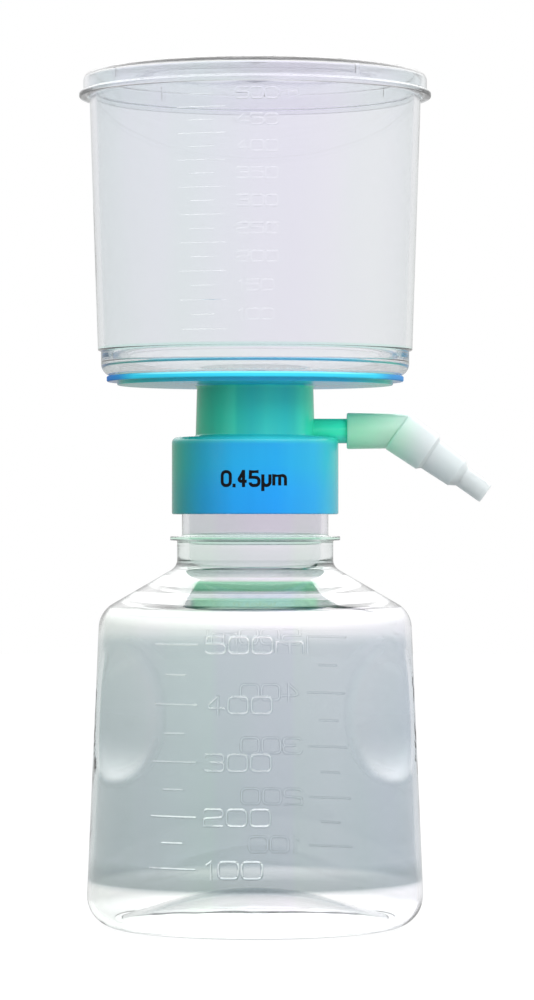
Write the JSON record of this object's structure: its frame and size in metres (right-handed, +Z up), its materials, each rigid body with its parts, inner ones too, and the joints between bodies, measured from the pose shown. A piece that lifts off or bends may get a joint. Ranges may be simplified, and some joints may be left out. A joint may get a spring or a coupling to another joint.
{
  "type": "vacuum filtration unit",
  "caption": "Clear cup with lid on a translucent blue filter base that screws on a clear graduated receiver bottle, with a stepped hose adapter at the side.",
  "frame": {"origin": "centre of the bottle's resting ring, on the surface it stands on", "axes": "+Z up along the bottle's axis, +X along the vacuum stub, the graduated front faces -Y"},
  "size_m": [0.1185, 0.101, 0.2445],
  "materials": {
    "bottle_styrene": "clear, gloss",
    "seal_silicone": "matt, translucent white",
    "base_blue": "translucent, gloss",
    "support_white": "matt",
    "membrane_white": "matt",
    "cup_styrene": "clear, gloss",
    "lid_styrene": "clear, gloss",
    "plug_fibre": "fibrous",
    "adapter_milky": "milky, satin"
  },
  "bodies": {
    "bottle": {"receiver_bottle": "bottle_styrene"},
    "seal": {"neck_seal": "seal_silicone"},
    "filter_head": {"filter_base": "base_blue", "membrane_support": "support_white", "filter_membrane": "membrane_white", "filter_cup": "cup_styrene", "port_plug": "plug_fibre"},
    "lid": {"cup_lid": "lid_styrene"},
    "adapter": {"hose_adapter": "adapter_milky"}
  },
  "joints": [
    {"name": "head_rise", "type": "slide", "parent": "bottle", "child": "seal", "axis": [0, 0, 1], "range_m": [0, 0.008]},
    {"name": "head_turn", "type": "hinge", "parent": "seal", "child": "filter_head", "pos_m": [0, 0, 0.1372], "axis": [0, 0, 1], "range_deg": [0, 720]},
    {"name": "lid_lift", "type": "slide", "parent": "filter_head", "child": "lid", "axis": [0, 0, 1], "range_m": [0, 0.025]},
    {"name": "adapter_swivel", "type": "hinge", "parent": "filter_head", "child": "adapter", "pos_m": [0.0263, 0, 0.142], "axis": [1, 0, 0], "continuous": true}
  ],
  "couplings": [
    {"joint": "head_rise", "follows": "head_turn", "m_per_rad": 0.00063662}
  ]
}
